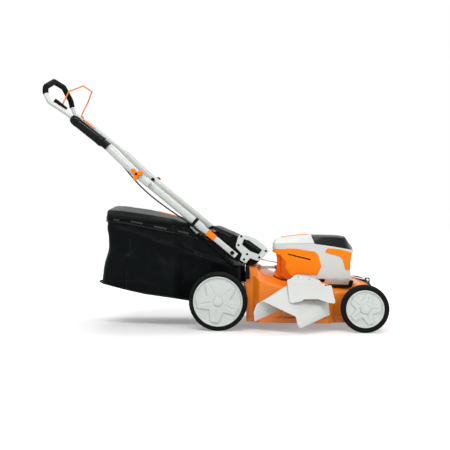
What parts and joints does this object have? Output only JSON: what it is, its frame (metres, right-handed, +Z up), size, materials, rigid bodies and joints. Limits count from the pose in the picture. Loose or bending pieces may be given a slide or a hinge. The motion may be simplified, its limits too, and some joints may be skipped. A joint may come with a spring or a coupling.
{
  "type": "cordless lawn mower",
  "caption": "Walk-behind battery lawn mower with an orange deck, rear grass bag, side chute, folding handle with a bail, and a height setting that moves all the wheels together.",
  "frame": {"origin": "bottom centre of the whole mower's box, on the ground", "axes": "+X forward, +Y to the mower's left, +Z up"},
  "size_m": [1.5018, 0.6088, 1.1226],
  "materials": {
    "orange_paint": "glossy orange paint",
    "orange_plastic": "bright orange moulding",
    "grey_plastic": "light grey moulding",
    "white_plastic": "pale grey moulding",
    "black_plastic": "satin black moulding",
    "gloss_black": "glossy black moulding",
    "tinted_window": "smoked glossy window",
    "tyre_rubber": "black rubber with a block tread",
    "foam": "dark foam",
    "tube_paint": "silver grey tube",
    "steel": "bare steel",
    "dark_steel": "black painted steel",
    "copper": "copper windings",
    "bag_fabric": "woven black fabric"
  },
  "bodies": {
    "chassis": {"deck": "orange_paint", "side_chute": "grey_plastic", "motor_base": "orange_paint", "motor_housing": "grey_plastic", "motor_cowl": "orange_plastic", "side_panel_right": "orange_plastic", "side_panel_left": "orange_plastic", "front_panel_right": "orange_plastic", "front_panel_left": "orange_plastic", "lid_hinge_pin": "steel", "motor_stator": "copper", "battery_pack": "black_plastic", "safety_key": "orange_plastic", "rear_console": "black_plastic", "height_grip": "white_plastic", "crank_bolt_right": "steel", "crank_bolt_left": "steel", "pivot_bolt_right": "dark_steel", "pivot_bolt_left": "dark_steel", "side_flap_pin": "steel", "cable_conduit": "black_plastic"},
    "rear_axle_set": {"rear_axle": "dark_steel"},
    "front_axle_set": {"front_axle": "dark_steel"},
    "tie_rod": {"height_tie_rod": "steel"},
    "rear_wheel_right": {"rear_tyre_right": "tyre_rubber", "rear_wheel_disc_right": "white_plastic"},
    "rear_wheel_left": {"rear_tyre_left": "tyre_rubber", "rear_wheel_disc_left": "white_plastic"},
    "front_wheel_right": {"front_tyre_right": "tyre_rubber", "front_wheel_disc_right": "white_plastic"},
    "front_wheel_left": {"front_tyre_left": "tyre_rubber", "front_wheel_disc_left": "white_plastic"},
    "blade_set": {"motor_rotor": "steel", "blade_carrier": "steel", "blade": "steel", "blade_bolt": "dark_steel"},
    "lid": {"battery_lid": "tinted_window"},
    "rear_flap": {"discharge_flap": "black_plastic"},
    "release_lever": {"height_release_lever": "black_plastic"},
    "lower_handle": {"lower_handle_right": "tube_paint", "lower_handle_left": "tube_paint", "cable_clip": "black_plastic", "cable_lower": "black_plastic"},
    "sleeve_right": {"handle_sleeve_right": "orange_plastic"},
    "sleeve_left": {"handle_sleeve_left": "orange_plastic"},
    "upper_handle": {"upper_handlebar": "tube_paint", "foam_grip": "foam", "control_box": "gloss_black", "bail_switch_box": "black_plastic", "cable_upper": "black_plastic"},
    "knob_right": {"star_knob_right": "orange_plastic"},
    "knob_left": {"star_knob_left": "orange_plastic"},
    "button": {"start_button": "orange_plastic"},
    "bail_lever": {"bail": "orange_plastic"},
    "chute_flap": {"side_flap": "grey_plastic"},
    "grass_bag": {"bag_fabric": "bag_fabric", "bag_base": "black_plastic", "bag_cover": "black_plastic", "bag_frame": "dark_steel"},
    "level_flap": {"bag_level_flap": "orange_plastic"}
  },
  "joints": [
    {"name": "rear_height_pivot", "type": "hinge", "parent": "chassis", "child": "rear_axle_set", "pos_m": [0.14026, 0.03237, 0.19052], "axis": [0, -1, 0], "range_deg": [-5, 25]},
    {"name": "front_height_pivot", "type": "hinge", "parent": "chassis", "child": "front_axle_set", "pos_m": [0.71126, 0.03237, 0.12182], "axis": [0, -1, 0], "range_deg": [-8.7, 43.1]},
    {"name": "tie_rod_pivot", "type": "hinge", "parent": "rear_axle_set", "child": "tie_rod", "pos_m": [0.14026, 0.03237, 0.29052], "axis": [0, -1, 0], "range_deg": [-25.8, 5.3]},
    {"name": "rear_wheel_right_spin", "type": "hinge", "parent": "rear_axle_set", "child": "rear_wheel_right", "pos_m": [0.03926, -0.20963, 0.12452], "axis": [0, 1, 0], "continuous": true},
    {"name": "rear_wheel_left_spin", "type": "hinge", "parent": "rear_axle_set", "child": "rear_wheel_left", "pos_m": [0.03926, 0.27437, 0.12452], "axis": [0, 1, 0], "continuous": true},
    {"name": "front_wheel_right_spin", "type": "hinge", "parent": "front_axle_set", "child": "front_wheel_right", "pos_m": [0.65126, -0.20963, 0.09962], "axis": [0, 1, 0], "continuous": true},
    {"name": "front_wheel_left_spin", "type": "hinge", "parent": "front_axle_set", "child": "front_wheel_left", "pos_m": [0.65126, 0.27437, 0.09962], "axis": [0, 1, 0], "continuous": true},
    {"name": "blade_spin", "type": "hinge", "parent": "chassis", "child": "blade_set", "pos_m": [0.37926, 0.03237, 0.054], "axis": [0, 0, 1], "continuous": true},
    {"name": "lid_hinge", "type": "hinge", "parent": "chassis", "child": "lid", "pos_m": [0.43426, 0.03237, 0.4045], "axis": [0, -1, 0], "range_deg": [0, 70]},
    {"name": "rear_flap_hinge", "type": "hinge", "parent": "chassis", "child": "rear_flap", "pos_m": [0.10926, 0.03237, 0.391], "axis": [0, 1, 0], "range_deg": [0, 65]},
    {"name": "release_lever_squeeze", "type": "slide", "parent": "chassis", "child": "release_lever", "axis": [-0.585, 0, -0.811], "range_m": [0, 0.006], "stiffness_N_per_m": 500, "springref_m": -0.002},
    {"name": "lower_handle_hinge", "type": "hinge", "parent": "chassis", "child": "lower_handle", "pos_m": [0.09326, 0.03237, 0.326], "axis": [0, 1, 0], "range_deg": [0, 35], "deforming": ["cable_lower"]},
    {"name": "sleeve_right_slide", "type": "slide", "parent": "lower_handle", "child": "sleeve_right", "axis": [0.7716, 0, -0.6361], "range_m": [0, 0.02]},
    {"name": "sleeve_left_slide", "type": "slide", "parent": "lower_handle", "child": "sleeve_left", "axis": [0.7716, 0, -0.6361], "range_m": [0, 0.02]},
    {"name": "upper_handle_fold", "type": "hinge", "parent": "lower_handle", "child": "upper_handle", "pos_m": [-0.32071, 0.03237, 0.66726], "axis": [0, 1, 0], "range_deg": [0, 130], "deforming": ["cable_upper"]},
    {"name": "knob_right_turn", "type": "hinge", "parent": "upper_handle", "child": "knob_right", "pos_m": [-0.32071, -0.15763, 0.66726], "axis": [0, -1, 0], "continuous": true},
    {"name": "knob_left_turn", "type": "hinge", "parent": "upper_handle", "child": "knob_left", "pos_m": [-0.32071, 0.22237, 0.66726], "axis": [0, 1, 0], "continuous": true},
    {"name": "start_button_press", "type": "slide", "parent": "upper_handle", "child": "button", "axis": [-0.6211, 0, -0.7837], "range_m": [0, 0.003], "stiffness_N_per_m": 600, "springref_m": -0.001},
    {"name": "bail_pull", "type": "hinge", "parent": "upper_handle", "child": "bail_lever", "pos_m": [-0.67321, 0.03237, 0.97646], "axis": [0, -1, 0], "range_deg": [0, 55], "stiffness_Nm_per_rad": 0.4, "springref_deg": -20.05},
    {"name": "side_flap_hinge", "type": "hinge", "parent": "chassis", "child": "chute_flap", "pos_m": [0.41926, -0.20213, 0.196], "axis": [-1, 0, 0], "range_deg": [0, 40], "stiffness_Nm_per_rad": 0.15, "springref_deg": -28.65},
    {"name": "bag_pull_off", "type": "slide", "parent": "chassis", "child": "grass_bag", "axis": [-1, 0, 0], "range_m": [0, 0.12]},
    {"name": "level_flap_hinge", "type": "hinge", "parent": "grass_bag", "child": "level_flap", "pos_m": [-0.16273, 0.03237, 0.48493], "axis": [0, 1, 0], "range_deg": [0, 25]}
  ],
  "couplings": [
    {"joint": "front_height_pivot", "follows": "rear_height_pivot", "ratio": 1.72},
    {"joint": "tie_rod_pivot", "follows": "rear_height_pivot", "ratio": -1.023}
  ]
}
